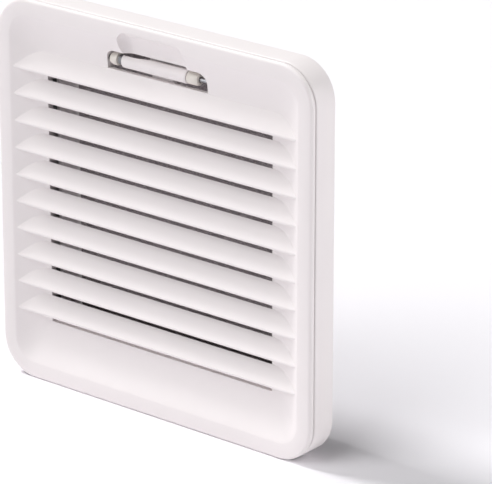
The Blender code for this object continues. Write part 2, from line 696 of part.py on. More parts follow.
def make_grid(plastic):
    """Rear finger guard with rows of slots between slim bars."""
    low = GRID_LOW
    high = SIZE - low
    outline = rounded_rectangle(GRID_HALF, low, high, REAR_CORNER)
    grid = prism("guard_grid", outline, "y", GRID_FRONT, GRID_BACK, plastic)
    width = 2 * (GRID_HALF - GRID_BORDER) + 4 * MM
    height = high - low - 2 * GRID_BORDER
    slot_w = (width - (GRID_COLUMNS - 1) * GRID_BAR) / GRID_COLUMNS
    slot_h = (height - (GRID_ROWS - 1) * GRID_BAR) / GRID_ROWS
    bm = bmesh.new()
    for column in range(GRID_COLUMNS):
        for row in range(GRID_ROWS):
            x = -width / 2 + slot_w / 2 + column * (slot_w + GRID_BAR)
            z = low + GRID_BORDER + slot_h / 2 + row * (slot_h + GRID_BAR)
            place = Matrix.Translation((x, (GRID_FRONT + GRID_BACK) / 2, z))
            scale = Matrix.Diagonal((slot_w, 10 * MM, slot_h, 1))
            bmesh.ops.create_cube(bm, size=1.0, matrix=place @ scale)
    combine(grid, finish_mesh("grid_slots", bm), "DIFFERENCE")


def make_mat(fibre):
    """Filter mat as one closed block; its fibres are a matter of looks only."""
    box("filter_mat", (-MAT_HALF, MAT_HALF), (MAT_FRONT, MAT_BACK), (MAT_LOW, MAT_HIGH), fibre)


def make_gasket(foam):
    """Foam seal stuck on the back of the flange, round the cut-out."""
    corners = ((SEAL_OUT, SEAL_FRONT), (SEAL_OUT, SEAL_BACK), (SEAL_IN, SEAL_BACK),
               (SEAL_IN, SEAL_FRONT))
    loops = [square_loop(inset, y, CORNER - inset) for inset, y in corners]
    loft("flange_gasket", loops, foam, closed=True)


def build():
    clear_scene()
    make_collection(PARTS)
    make_collection(CUTTERS)
    root = bpy.data.objects.new("front_plane", None)
    root.location = (0, -DEPTH / 2, 0)
    bpy.context.scene.collection.objects.link(root)

    plastic = make_material("light_grey_plastic", (0.80, 0.78, 0.78), 0.42)
    clip_plastic = make_material("grey_plastic", (0.42, 0.42, 0.43), 0.5)
    bush_plastic = make_material("glossy_plastic", (0.58, 0.56, 0.53), 0.25)
    steel = make_material("zinc_steel", (0.62, 0.62, 0.63), 0.3, 1.0)
    fibre = make_material("filter_fibre", (0.10, 0.09, 0.095), 0.95)
    foam = make_material("seal_foam", (0.06, 0.06, 0.06), 0.9)

    make_cover(plastic)
    make_latch(plastic, steel, bush_plastic)
    make_hinge_pins(steel)
    make_frame(plastic)
    make_clips(clip_plastic, steel)
    make_grid(plastic)
    make_mat(fibre)
    make_gasket(foam)


build()
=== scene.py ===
import json
import math

import bmesh
import bpy
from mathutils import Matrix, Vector

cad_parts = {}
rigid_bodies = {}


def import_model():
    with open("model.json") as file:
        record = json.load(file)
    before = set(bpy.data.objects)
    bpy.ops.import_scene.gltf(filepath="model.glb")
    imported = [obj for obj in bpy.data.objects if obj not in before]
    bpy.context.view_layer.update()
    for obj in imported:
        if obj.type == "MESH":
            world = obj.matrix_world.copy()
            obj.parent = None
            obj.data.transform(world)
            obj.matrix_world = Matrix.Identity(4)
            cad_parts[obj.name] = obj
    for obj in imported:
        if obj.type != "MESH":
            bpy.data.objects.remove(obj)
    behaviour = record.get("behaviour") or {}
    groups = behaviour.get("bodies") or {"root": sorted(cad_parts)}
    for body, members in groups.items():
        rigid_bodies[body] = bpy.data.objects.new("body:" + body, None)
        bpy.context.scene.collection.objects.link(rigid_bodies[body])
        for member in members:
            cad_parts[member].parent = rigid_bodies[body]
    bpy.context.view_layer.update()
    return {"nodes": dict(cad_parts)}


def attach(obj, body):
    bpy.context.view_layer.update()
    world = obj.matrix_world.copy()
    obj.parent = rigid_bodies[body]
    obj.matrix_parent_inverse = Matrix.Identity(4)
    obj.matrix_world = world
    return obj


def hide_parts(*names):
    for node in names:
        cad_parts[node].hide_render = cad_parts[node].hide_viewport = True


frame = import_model()

MM = 0.001
PI = math.pi

# Points closer than NEAR are taken as being at one place when parts of a mesh are selected, and points
# closer than MERGE are merged. Joined pieces overlap by LAP, and a cutter reaches past its cut by CUT
NEAR = 0.1 * MM
MERGE = 0.002 * MM
LAP = 0.5 * MM
CUT = 2 * MM

# Faces meeting at more than so many degrees keep a sharp edge
CREASE = 30
ROUND_CREASE = 50
ALL_ROUND = 180
MOULDED_EDGE = 35
TURNED_EDGE = 60

HALF = 75 * MM
HIGH = 150 * MM
CORNER = 15 * MM
FRONT = -13.5 * MM
CORNER_STEPS = 14
CORNERS = ((1, 1), (-1, 1), (-1, -1), (1, -1))

# Cover: insets are (side, low, top) from the outline, depths are measured back from the rim
SEAM = 2.2 * MM
GAP = 0.3 * MM
EDGE_ROUND = 1.2 * MM
RIM = 6.3 * MM
RIM_EDGE = 0.25 * MM
RIM_SINK = 0.045 * MM
RIM_BACK = 2.4 * MM
DISH = 4.5 * MM
DISH_STEPS = 26
DISH_BACK_STEPS = 12
DISH_END = (20.3 * MM, 24.4 * MM, 19.6 * MM)
DISH_CORNER = 2.5 * MM
OPENING = (21.3 * MM, 28.6 * MM, 20.6 * MM)
OPENING_CORNER = 1.5 * MM
FLOOR_BACK = 6.8 * MM
SKIN = 2.1 * MM
SKIRT_OUT = 3.1 * MM
SKIRT_IN = 4.7 * MM
SKIRT_BACK = 7.0 * MM
SKIRT_LOW = 18 * MM

# Louvre blades
BLADES = 10
PITCH = 10.66 * MM
TOP_LIP = 123.1 * MM
LIP_DEPTH = 0.6 * MM
RISE = 6.68 * MM
BLADE = 1.8 * MM
GROOVE_LOW = 23.3 * MM
GROOVE_HIGH = 28.8 * MM
GROOVE_BACK = 6.2 * MM

# Latch
LATCH_Y = 6.0 * MM
LATCH_Z = 133.9 * MM
BAR_R = 2.65 * MM
BAR_EDGE = 0.5 * MM
BAR_LEFT = -16.6 * MM
BAR_RIGHT = 14.1 * MM
HOLLOW_X = -13 * MM
HOLLOW_R = 45 * MM
HOLLOW_DEEP = 1.1 * MM
HOLLOW_TILT = 24
POCKET_HALF = 23.8 * MM
POCKET_LOW = 130 * MM
POCKET_HIGH = 137.5 * MM
POCKET_ROUND = 3.8 * MM
BOSS_HALF = 27.4 * MM
BOSS_LOW = 128.8 * MM
BOSS_FOOT = 131.5 * MM
BOSS_BEND = 137 * MM
BOSS_TOP = 146.6 * MM
BOSS_FRONT = 1.0 * MM
BEND_FRONT = 4.2 * MM
FOOT_FRONT = 5.4 * MM
BOSS_BACK = 9.2 * MM
BOSS_CHAMFER = 1.3 * MM
SLOT_FRONT = 6.4 * MM
SLOT_LOW = 128 * MM
SCOOP_R = 8.7 * MM
SCOOP_Y = -3.2 * MM
SCOOP_Z = 138.6 * MM
SCOOP_STRAIGHT = 11.5 * MM
SCOOP_END = 5.5 * MM
LATCH_PIN_R = 0.8 * MM
LATCH_BORE = 51 * MM
BUSH_R = 2.45 * MM
BUSH_NOSE = 2.05 * MM
BUSH_TAPER = 1.4 * MM
BUSH_EDGE = 0.12 * MM
RIGHT_BUSH = (14.4 * MM, 19.3 * MM)
LEFT_BUSH = (-22.4 * MM, -18.9 * MM)
ARM_HALF = 5 * MM
ARM_LOW = 127.3 * MM
ARM_TOP = 128.3 * MM
WEB_FRONT = 7.6 * MM
WEB_BACK = 9.4 * MM
HOOK_FRONT = 13.5 * MM
HOOK_BACK = 15.4 * MM
HOOK_TOP = 129.3 * MM
HOOK_CREST = 0.5 * MM
KEEPER_LOW = 129.7 * MM
KEEPER_HALF = 9 * MM

# Frame
FRAME_FRONT = 2.6 * MM
FRAME_ROUND = 0.7 * MM
FLANGE_FRONT = 11.0 * MM
FLANGE_BACK = 13.2 * MM
WALL = 2.5 * MM
HOUSING = 12.8 * MM
HOUSING_WALL = 1.8 * MM
HOUSING_CORNER = 5 * MM
LIP_FRONT = 25.2 * MM
DEPTH = 27.0 * MM
REAR_OPEN = (22.4 * MM, 17.4 * MM, 17.4 * MM)
REAR_CORNER = 2 * MM
TRAY_FRONT = 11.6 * MM
TRAY_OUT = 55.8 * MM
TRAY_WALL = 1.4 * MM
HINGE_Y = 5.2 * MM
HINGE_Z = 2.6 * MM
HINGE_X = 46 * MM
PIN_R = 1.0 * MM
LUG_R = 1.9 * MM
LUG_HALF = 3.2 * MM
LUG_ROOT = 1.6 * MM
EAR = 2.5 * MM
EAR_ROOT = 0.8 * MM
NOTCH_HALF = 65.5 * MM
NOTCH_TOP = 5.2 * MM
NOTCH_BACK = 8.6 * MM
NOTCH_WALL_HALF = 67.5 * MM
NOTCH_WALL_DEPTHS = (3.8 * MM, 11.2 * MM)
NOTCH_WALL_LEVELS = (2.0 * MM, 7.0 * MM)
CLIP_Z = (41 * MM, 109 * MM)
CLIP_X = 60.2 * MM
CLIP_Y = 23.0 * MM
CLIP_PIN_R = 0.9 * MM
WINDOW_HALF = 6.6 * MM
WINDOW_FRONT = 14.4 * MM
WINDOW_IN = 55.85 * MM
PIN_BOSS = 2.9 * MM
PIN_CAP = 0.6 * MM
PIN_BLOCK_FRONT = 20.7 * MM
PIN_BLOCK_IN = 58.1 * MM
PIN_BLOCK_OUT = 62.0 * MM

# Springs: mean radius of the coil, radius of the wire, length of the coil, length of the leg
COIL_TURNS = 4
LATCH_SPRING = (1.7 * MM, 0.17 * MM, 1.6 * MM, 3.0 * MM)
CLIP_SPRING = (1.5 * MM, 0.2 * MM, 3.8 * MM, 5.0 * MM)

# Mat and seal
MAT_HALF = 53.9 * MM
MAT_LOW = 16 * MM
MAT_HIGH = 134 * MM
MAT_FRONT = 18.6 * MM
MAT_BACK = 22.9 * MM
MAT_SHRINK = 0.5 * MM
MAT_VOXEL = 2 * MM
MAT_CROWN = 0.45 * MM
MAT_PRESSURE = 4
MAT_FRAMES = 20
SEAL_OUT = 3.6 * MM
SEAL_IN = 10.4 * MM
SEAL_FRONT = 13.5 * MM
SEAL_BACK = 16.5 * MM

# Widths of the rounded edges on the refined copies
GRID_EDGE = 0.3 * MM
PIN_EDGE = 0.2 * MM
CLIP_EDGE = 0.15 * MM

# Sizes of the patterns in the materials
CLOUD = 28.6 * MM
GRAIN = 0.4 * MM
GRAIN_DEEP = 0.04 * MM
STREAK = 0.556 * MM
FIBRE_BEND = 4.55 * MM
FIBRE_SWAY = 4 * MM
FIBRE_GAP = 1.11 * MM
FIBRE_DEEP = 0.4 * MM
PORE = 0.714 * MM
PORE_DEEP = 0.2 * MM

# Camera: its turn and lift in degrees, its distance and offsets from the middle of the front, and the
# lens and sensor width in Blender's millimetres
CAMERA_TURN = 39.719
CAMERA_LIFT = 20.441
CAMERA_FAR = 1329.97 * MM
CAMERA_RIGHT = 34.797 * MM
CAMERA_DOWN = 5.325 * MM
LENS = 267.3
SENSOR = 36

# Each lamp: name, azimuth that it shines from (0 is the front, -90 the left), elevation, energy and the
# angle that it fills in the sky, which sets how soft its shadows are
LAMPS = (("key_left", -83, 54, 1.8, 15), ("rim_left", -110, 62, 0.3, 40),
         ("fill_left_front", -30, 15, 0.68, 25), ("fill_above", -20, 56, 1.15, 40),
         ("fill_right", 112, 15, 1.36, 30), ("fill_upper_right", 95, 45, 0.15, 40))


# Hand tools

def deselect():
    if bpy.context.object and bpy.context.object.mode == "EDIT":
        bpy.ops.object.mode_set(mode="OBJECT")
    bpy.ops.object.select_all(action="DESELECT")


def take(piece):
    deselect()
    piece.select_set(True)
    bpy.context.view_layer.objects.active = piece


def named(name):
    """The object just added, with its place and turn put into its mesh."""
    piece = bpy.context.object
    piece.name = name
    piece.data.name = name
    bpy.ops.object.transform_apply(location=True, rotation=True, scale=True)
    return piece


def cube(name, x, y, z, turn=0.0):
    """Box between pairs of x, y and z, turned about X."""
    deselect()
    middle = (sum(x) / 2, FRONT + sum(y) / 2, sum(z) / 2)
    bpy.ops.mesh.primitive_cube_add(size=1, location=middle, rotation=(turn, 0, 0))
    bpy.context.object.scale = (abs(x[1] - x[0]), abs(y[1] - y[0]), abs(z[1] - z[0]))
    return named(name)


def cylinder(name, middle, radius, length, axis="x", sides=48):
    deselect()
    turns = {"x": (0, PI / 2, 0), "y": (PI / 2, 0, 0), "z": (0, 0, 0)}
    bpy.ops.mesh.primitive_cylinder_add(vertices=sides, radius=radius, depth=length, rotation=turns[axis],
                                        location=(middle[0], FRONT + middle[1], middle[2]))
    return named(name)


def edit(piece, mode="VERT"):
    take(piece)
    bpy.ops.object.mode_set(mode="EDIT")
    bpy.ops.mesh.select_mode(type=mode)


def leave():
    bpy.ops.object.mode_set(mode="OBJECT")


def middle_of(item):
    if isinstance(item, bmesh.types.BMVert):
        return item.co
    return sum((vert.co for vert in item.verts), Vector()) / len(item.verts)


def choose(test, kind="verts"):
    """In edit mode, select the vertices, edges or faces that pass a test of (middle, self)."""
    data = bpy.context.object.data
    bpy.ops.mesh.select_all(action="DESELECT")
    mesh = bmesh.from_edit_mesh(data)
    for item in getattr(mesh, kind):
        if test(middle_of(item), item):
            item.select_set(True)
    mesh.select_flush_mode()
    bmesh.update_edit_mesh(data)


def mend(piece):
    """Merge doubles and turn all faces outwards."""
    edit(piece)
    bpy.ops.mesh.select_all(action="SELECT")
    bpy.ops.mesh.remove_doubles(threshold=MERGE)
    bpy.ops.mesh.normals_make_consistent(inside=False)
    leave()


def corner_centre(insets, radius, place):
    side, low, top = insets
    z = HIGH - top - radius if place[1] > 0 else low + radius
    return Vector((place[0] * (HALF - side - radius), 0, z))


def quarter(steps):
    """Angles from 0 to 90 degrees in equal steps."""
    return [PI / 2 * step / steps for step in range(steps + 1)]


def ring_wall(name, rings, capped=False):
    """Rounded square outline extruded ring by ring. Each ring is (insets, depth, corner radius)."""
    insets, depth, radius = rings[0]
    side, low, top = insets
    deselect()
    bpy.ops.mesh.primitive_plane_add(size=1, rotation=(PI / 2, 0, 0),
                                     location=(0, FRONT + depth, (low + HIGH - top) / 2))
    bpy.context.object.scale = (2 * (HALF - side), HIGH - top - low, 1)
    piece = named(name)
    edit(piece)
    bpy.ops.mesh.select_all(action="SELECT")
    bpy.ops.mesh.bevel(offset=radius, affect="VERTICES", segments=CORNER_STEPS)
    bpy.ops.mesh.delete(type="ONLY_FACE")
    bpy.ops.mesh.select_all(action="SELECT")
    for next_insets, next_depth, next_radius in rings[1:]:
        bpy.ops.mesh.extrude_edges_move()
        mesh = bmesh.from_edit_mesh(piece.data)
        mesh.verts.index_update()
        ring = {vert.index for vert in mesh.verts if vert.select}
        for place in CORNERS:
            old = corner_centre(insets, radius, place)
            new = corner_centre(next_insets, next_radius, place)
            choose(lambda co, vert: vert.index in ring and co.x * place[0] > 0
                   and (co.z - HIGH / 2) * place[1] > 0)
            if abs(next_radius - radius) > MERGE:
                size = next_radius / radius
                bpy.ops.transform.resize(value=(size, 1, size), center_override=old)
            move = new - old + Vector((0, next_depth - depth, 0))
            bpy.ops.transform.translate(value=move)
        choose(lambda co, vert: vert.index in ring)
        insets, depth, radius = next_insets, next_depth, next_radius
    if capped:
        bpy.ops.mesh.edge_face_add()
        first = len(ring)
        choose(lambda co, vert: vert.index < first)
        bpy.ops.mesh.edge_face_add()
    leave()
    mend(piece)
    return piece


def even(inset):
    return (inset, inset, inset)


def combine(piece, tool, operation):
    """Join, cut or trim a piece with a tool by an applied Boolean, and throw the tool away."""
    take(piece)
    modifier = piece.modifiers.new(tool.name, "BOOLEAN")
    modifier.operation = operation
    modifier.object = tool
    modifier.solver = "EXACT"
    bpy.ops.object.modifier_apply(modifier=modifier.name)
    bpy.data.objects.remove(tool, do_unlink=True)


def join(piece, *others):
    """Put other pieces into one object."""
    take(piece)
    for other in others:
        other.select_set(True)
    bpy.ops.object.join()


def round_edges(piece, width, segments, angle):
    """Bevel all edges sharper than an angle."""
    take(piece)
    modifier = piece.modifiers.new("edge", "BEVEL")
    modifier.width = width
    modifier.segments = segments
    modifier.limit_method = "ANGLE"
    modifier.angle_limit = math.radians(angle)
    bpy.ops.object.modifier_apply(modifier=modifier.name)


def smooth(piece, angle=CREASE):
    take(piece)
    bpy.ops.object.shade_smooth_by_angle(angle=math.radians(angle))


def refined(name, width):
    """A merged copy of a CAD node with its flat faces whole again and its edges rounded."""
    source = frame["nodes"][name]
    deselect()
    piece = bpy.data.objects.new(name + "_shown", source.data.copy())
    bpy.context.scene.collection.objects.link(piece)
    piece.data.materials.clear()
    mend(piece)
    edit(piece)
    bpy.ops.mesh.select_all(action="SELECT")
    bpy.ops.mesh.dissolve_limited(angle_limit=math.radians(1))
    leave()
    round_edges(piece, width, 2, MOULDED_EDGE)
    smooth(piece, MOULDED_EDGE)
    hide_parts(name)
    return piece


def settle(piece, material, body):
    """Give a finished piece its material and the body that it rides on."""
    piece.data.materials.clear()
    piece.data.materials.append(material)
    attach(piece, body)


# Materials

def linear(code):
    """sRGB hex as linear red, green, blue and one."""
    values = [int(code[i:i + 2], 16) / 255 for i in (0, 2, 4)]
    return tuple(v / 12.92 if v <= 0.04045 else ((v + 0.055) / 1.055) ** 2.4 for v in values) + (1,)


def node(tree, kind, settings=None, **links):
    """Add a node. settings fill its values and sockets, links join sockets to outputs."""
    made = tree.nodes.new("ShaderNode" + kind)
    for key, value in (settings or {}).items():
        if hasattr(made, key):
            setattr(made, key, value)
        else:
            made.inputs[key].default_value = value
    for key, output in links.items():
        tree.links.new(output, made.inputs[key.replace("_", " ")])
    return made


def new_material(name, color, roughness, metallic=0.0, **sockets):
    material = bpy.data.materials.new(name)
    material.use_nodes = True
    shader = material.node_tree.nodes["Principled BSDF"]
    shader.inputs["Base Color"].default_value = linear(color)
    shader.inputs["Roughness"].default_value = roughness
    shader.inputs["Metallic"].default_value = metallic
    for key, value in sockets.items():
        shader.inputs[key.replace("_", " ")].default_value = value
    return material, material.node_tree, shader


def moulded_plastic(name, color, darker, roughness):
    """Moulded plastic with a spark-eroded grain: satin, with faint clouds of tone. The real grain is finer
    and is drawn this coarse to show."""
    material, tree, shader = new_material(name, color, roughness, IOR=1.53)
    where = node(tree, "TexCoord").outputs["Object"]
    clouds = node(tree, "TexNoise", {"Scale": 1 / CLOUD, "Detail": 3.0}, Vector=where)
    tone = node(tree, "Mix", {"data_type": "RGBA", "blend_type": "MIX"})
    tone.inputs[6].default_value = linear(color)
    tone.inputs[7].default_value = linear(darker)
    tree.links.new(clouds.outputs["Fac"], tone.inputs[0])
    tree.links.new(tone.outputs[2], shader.inputs["Base Color"])
    grain = node(tree, "TexNoise", {"Scale": 1 / GRAIN, "Detail": 2.0, "Roughness": 0.6}, Vector=where)
    bump = node(tree, "Bump", {"Strength": 0.12, "Distance": GRAIN_DEEP}, Height=grain.outputs["Fac"])
    tree.links.new(bump.outputs["Normal"], shader.inputs["Normal"])
    rough = node(tree, "MapRange", {"To Min": roughness - 0.05, "To Max": roughness + 0.07},
                 Value=clouds.outputs["Fac"])
    tree.links.new(rough.outputs["Result"], shader.inputs["Roughness"])
    return material


HOUSING_ABS = moulded_plastic("moulded_abs_light_grey", "F1EBEB", "ECE6E6", 0.42)
CLIP_POLYAMIDE = moulded_plastic("moulded_polyamide_grey", "9B9B9D", "929294", 0.5)
BUSH_ACETAL = moulded_plastic("turned_acetal_cream", "E6E0D8", "E0DAD2", 0.3)


def zinc_plate():
    """Zinc-plated steel: bright but not a mirror, with uneven gloss. The real streaks are finer and are
    drawn this coarse to show."""
    material, tree, shader = new_material("zinc_plated_steel", "96979A", 0.38, 1.0)
    where = node(tree, "TexCoord").outputs["Object"]
    streaks = node(tree, "TexNoise", {"Scale": 1 / STREAK, "Detail": 2.0}, Vector=where)
    rough = node(tree, "MapRange", {"To Min": 0.3, "To Max": 0.48}, Value=streaks.outputs["Fac"])
    tree.links.new(rough.outputs["Result"], shader.inputs["Roughness"])
    return material


ZINC = zinc_plate()


def fleece(name, color, lighter):
    """Non-woven polyester fleece: matt, tangled fibres with light ones over darker gaps; the darker tone
    in the gaps is painted shade between the fibres. The real fibres are finer and are drawn this coarse to
    show."""
    material, tree, shader = new_material(name, color, 0.95, IOR=1.5)
    shader.inputs["Specular IOR Level"].default_value = 0.2
    where = node(tree, "TexCoord").outputs["Object"]
    warp = node(tree, "TexNoise", {"Scale": 1 / FIBRE_BEND, "Detail": 3.0}, Vector=where)
    shifted = node(tree, "VectorMath", {"operation": "MULTIPLY_ADD"})
    tree.links.new(warp.outputs["Color"], shifted.inputs[0])
    shifted.inputs[1].default_value = (FIBRE_SWAY, FIBRE_SWAY, FIBRE_SWAY)
    tree.links.new(where, shifted.inputs[2])
    fibres = node(tree, "TexVoronoi", {"feature": "DISTANCE_TO_EDGE", "Scale": 1 / FIBRE_GAP},
                  Vector=shifted.outputs["Vector"])
    mask = node(tree, "MapRange", {"From Min": 0.0, "From Max": 0.16, "To Min": 1.0, "To Max": 0.0},
                Value=fibres.outputs["Distance"])
    tone = node(tree, "Mix", {"data_type": "RGBA"})
    tone.inputs[6].default_value = linear(color)
    tone.inputs[7].default_value = linear(lighter)
    tree.links.new(mask.outputs["Result"], tone.inputs[0])
    tree.links.new(tone.outputs[2], shader.inputs["Base Color"])
    bump = node(tree, "Bump", {"Strength": 0.8, "Distance": FIBRE_DEEP}, Height=mask.outputs["Result"])
    tree.links.new(bump.outputs["Normal"], shader.inputs["Normal"])
    return material


# The mat's grey is partly painted shade: the fleece is drawn darker than white so that what shows through
# the slots is as dark as the shade inside the cover
MAT_FLEECE_AND_PAINTED_SHADE = fleece("polyester_fleece_grey", "A0979A", "C4BCBE")


def cell_foam():
    """Closed-cell foam strip: black, matt, with small open pores."""
    material, tree, shader = new_material("closed_cell_foam", "2A2A2B", 0.9)
    where = node(tree, "TexCoord").outputs["Object"]
    pores = node(tree, "TexVoronoi", {"Scale": 1 / PORE}, Vector=where)
    tone = node(tree, "Mix", {"data_type": "RGBA"})
    tone.inputs[6].default_value = linear("333334")
    tone.inputs[7].default_value = linear("222223")
    tree.links.new(pores.outputs["Distance"], tone.inputs[0])
    tree.links.new(tone.outputs[2], shader.inputs["Base Color"])
    bump = node(tree, "Bump", {"Strength": 0.7, "Distance": PORE_DEEP}, Height=pores.outputs["Distance"])
    tree.links.new(bump.outputs["Normal"], shader.inputs["Normal"])
    return material


SEAL_FOAM = cell_foam()


# Front cover

def dish_insets(t):
    return tuple(RIM + (end - RIM) * t for end in DISH_END)


def dish_rings(shift, steps, first=0):
    """Concave surround from the rim at t = 0 to its end at t = 1, moved back by shift."""
    rings = []
    for step in range(first, steps + 1):
        t = step / steps
        depth = shift + DISH * math.sin(t * PI / 2)
        rings.append((dish_insets(t), depth, (CORNER - RIM) * (1 - t) + DISH_CORNER * t))
    return rings


def cover_shell():
    """Rim, dished surround and floor round the louvre opening."""
    rings = [(even(GAP), SEAM, CORNER - GAP)]
    for angle in quarter(8):
        inset = EDGE_ROUND * (1 - math.cos(angle))
        rings.append((even(inset), EDGE_ROUND * (1 - math.sin(angle)), CORNER - inset))
    rings.append((even(RIM - RIM_EDGE), 0, CORNER - RIM + RIM_EDGE))
    rings.append((even(RIM), RIM_SINK, CORNER - RIM))
    rings += dish_rings(0, DISH_STEPS, 1)
    rings.append((OPENING, DISH, OPENING_CORNER))
    rings.append((OPENING, FLOOR_BACK, OPENING_CORNER))
    rings.append((dish_insets(1), FLOOR_BACK, DISH_CORNER))
    rings += reversed(dish_rings(SKIN, DISH_BACK_STEPS, 1)[:-1])
    rings.append((even(RIM), RIM_BACK, CORNER - RIM))
    rings.append((even(SKIRT_IN), SEAM, CORNER - SKIRT_IN))
    rings.append((even(GAP), SEAM, CORNER - GAP))
    return ring_wall("front_cover_shown", rings)


def cover_skirt():
    """Wall behind the cover that seats inside the frame on three sides."""
    root = SEAM - LAP
    edge = 0.3 * MM
    profile = ((SKIRT_OUT, root), (SKIRT_OUT, SKIRT_BACK - edge), (SKIRT_OUT + edge, SKIRT_BACK),
               (SKIRT_IN - edge, SKIRT_BACK), (SKIRT_IN, SKIRT_BACK - edge), (SKIRT_IN, root),
               (SKIRT_OUT, root))
    skirt = ring_wall("skirt", [(even(inset), depth, CORNER - inset) for inset, depth in profile])
    combine(skirt, cube("skirt_end", (-HALF, HALF), (0, 2 * SKIRT_BACK), (-MM, SKIRT_LOW)), "DIFFERENCE")
    return skirt


def louvre_blades():
    """One sloping blade with a rounded lip, copied down the opening and trimmed to the dish."""
    run = DISH - LIP_DEPTH
    slope = math.atan2(run, RISE)
    nose = BLADE / 2
    past = 0.6 * nose
    length = math.hypot(run, RISE) + past
    along = Vector((math.sin(slope), math.cos(slope)))
    inward = Vector((along.y, -along.x))
    centre = Vector((LIP_DEPTH, TOP_LIP)) + along * (length / 2 - past) + inward * nose
    blade = cube("blade", (-HALF, HALF), (centre.x - nose, centre.x + nose),
                 (centre.y - length / 2, centre.y + length / 2), turn=-slope)
    lip = centre - along * length / 2
    edit(blade, "EDGE")
    choose(lambda co, edge: abs(edge.verts[0].co.x - edge.verts[1].co.x) > HALF
           and (Vector((co.y - FRONT, co.z)) - lip).length < 1.1 * nose, "edges")
    # The lip's two rounds stop just short of meeting
    bpy.ops.mesh.bevel(offset=0.98 * nose, segments=8)
    leave()
    for _ in range(BLADES - 1):
        bpy.ops.object.duplicate_move(TRANSFORM_OT_translate={"value": (0, 0, -PITCH)})
        bpy.ops.object.transform_apply(location=True)
        bpy.context.object.name = "blade_copy"
    copies = [piece for piece in bpy.data.objects if piece.name.startswith("blade_copy")]
    join(blade, *copies)
    overlap = 0.4 * MM
    inset = tuple(value - overlap for value in OPENING)
    half_skin = SKIN / 2
    rings = [(dish_insets(0), -CUT, CORNER - RIM)] + dish_rings(half_skin, DISH_BACK_STEPS)
    rings.append((inset, DISH + half_skin + NEAR, OPENING_CORNER))
    rings.append((inset, FLOOR_BACK + CUT, OPENING_CORNER))
    combine(blade, ring_wall("blade_limit", rings, capped=True), "INTERSECT")
    return blade


def latch_boss():
    """Block behind the top slope, shaped so that its front stays inside the skin."""
    boss = cube("boss", (-BOSS_HALF, BOSS_HALF), (BOSS_FRONT, BOSS_BACK), (BOSS_LOW, BOSS_TOP))
    front = FRONT + BOSS_FRONT + NEAR
    edit(boss)
    for level in (BOSS_BEND, BOSS_FOOT):
        bpy.ops.mesh.select_all(action="SELECT")
        bpy.ops.mesh.bisect(plane_co=(0, 0, level), plane_no=(0, 0, 1))
    choose(lambda co, vert: co.y < front and abs(co.z - BOSS_BEND) < NEAR)
    bpy.ops.transform.translate(value=(0, BEND_FRONT - BOSS_FRONT, 0))
    choose(lambda co, vert: co.y < front and co.z < BOSS_BEND - NEAR)
    bpy.ops.transform.translate(value=(0, FOOT_FRONT - BOSS_FRONT, 0))
    choose(lambda co, vert: co.y > FRONT + BOSS_BACK - NEAR and co.z < BOSS_LOW + NEAR)
    bpy.ops.transform.translate(value=(0, -BOSS_CHAMFER, 0))
    leave()
    return boss


def hinge_lug(side):
    """Lug round the hinge pin: a short cylinder with a block to the back of the cover."""
    middle = side * HINGE_X
    lug = cylinder("lug", (middle, HINGE_Y, HINGE_Z), LUG_R, 2 * LUG_HALF)
    block = cube("lug_root", (middle - LUG_HALF, middle + LUG_HALF), (LUG_ROOT, HINGE_Y),
                 (HINGE_Z - LUG_R, HINGE_Z + LUG_R))
    combine(lug, block, "UNION")
    return lug


def pocket_tool():
    """Cutter for the latch window: a box with its two upper corners rounded."""
    tool = cube("pocket", (-POCKET_HALF, POCKET_HALF), (-CUT, BOSS_BACK + CUT), (POCKET_LOW, POCKET_HIGH))
    edit(tool, "EDGE")
    choose(lambda co, edge: co.z > POCKET_HIGH - NEAR and abs(co.x) > POCKET_HALF - NEAR
           and abs(edge.verts[0].co.x - edge.verts[1].co.x) < NEAR, "edges")
    bpy.ops.mesh.bevel(offset=POCKET_ROUND, segments=14)
    leave()
    return tool


def scoop_tool():
    """Cutter for the finger scoop: a ball pulled apart sideways and flattened at its ends."""
    deselect()
    bpy.ops.mesh.primitive_uv_sphere_add(segments=64, ring_count=48, radius=SCOOP_R,
                                         rotation=(0, PI / 2, 0), location=(0, 0, 0))
    bpy.context.object.scale = (1, 1, SCOOP_END / SCOOP_R)
    tool = named("scoop")
    edit(tool)
    for side in (-1, 1):
        choose(lambda co, vert: co.x * side > NEAR)
        bpy.ops.transform.translate(value=(side * SCOOP_STRAIGHT, 0, 0))
    bpy.ops.mesh.select_all(action="SELECT")
    bpy.ops.transform.translate(value=(0, FRONT + SCOOP_Y, SCOOP_Z))
    leave()
    return tool


def front_cover():
    cover = cover_shell()
    combine(cover, latch_boss(), "UNION")
    for side in (-1, 1):
        combine(cover, hinge_lug(side), "UNION")
    combine(cover, scoop_tool(), "DIFFERENCE")
    combine(cover, pocket_tool(), "DIFFERENCE")
    slot = cube("arm_slot", (-POCKET_HALF, POCKET_HALF), (SLOT_FRONT, BOSS_BACK + CUT),
                (SLOT_LOW, POCKET_LOW + LAP))
    combine(cover, slot, "DIFFERENCE")
    bore = cylinder("bore", (0, LATCH_Y, LATCH_Z), LATCH_PIN_R + GAP, LATCH_BORE)
    combine(cover, bore, "DIFFERENCE")
    bore = cylinder("bore", (0, HINGE_Y, HINGE_Z), PIN_R + GAP, 2 * HALF)
    combine(cover, bore, "DIFFERENCE")
    half = HALF - OPENING[0]
    groove = cube("groove", (-half, half), (DISH - LAP, GROOVE_BACK), (GROOVE_LOW, GROOVE_HIGH))
    combine(cover, groove, "DIFFERENCE")
    join(cover, louvre_blades(), cover_skirt())
    smooth(cover)
    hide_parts("front_cover")
    settle(cover, HOUSING_ABS, "cover_unit")


front_cover()


# Latch

